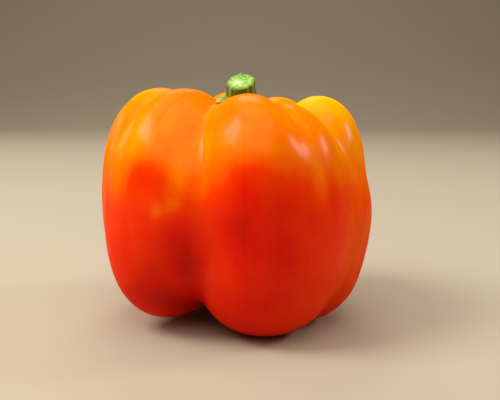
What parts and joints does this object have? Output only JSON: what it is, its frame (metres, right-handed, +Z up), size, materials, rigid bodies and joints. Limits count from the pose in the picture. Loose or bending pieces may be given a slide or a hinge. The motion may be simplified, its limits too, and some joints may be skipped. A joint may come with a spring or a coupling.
{
  "type": "bell pepper",
  "caption": "Whole blocky bell pepper, ripening from orange to red, with rounded lobes, a sunken top and a short cut green stem with its calyx; stands on its feet.",
  "frame": {"origin": "on the surface that the pepper stands on, under the middle of its outline seen from above", "axes": "+Z up from the feet to the stem, -Y towards the side that the picture shows, +X to the right of that view"},
  "size_m": [0.0965, 0.0905, 0.0869],
  "materials": {
    "skin": "smooth waxy orange skin blushing to red, glossy",
    "stem": "ribbed fresh green stalk and calyx, satin, with a paler cut end"
  },
  "bodies": {
    "root": {"fruit": "skin", "stem": "stem"}
  },
  "joints": []
}
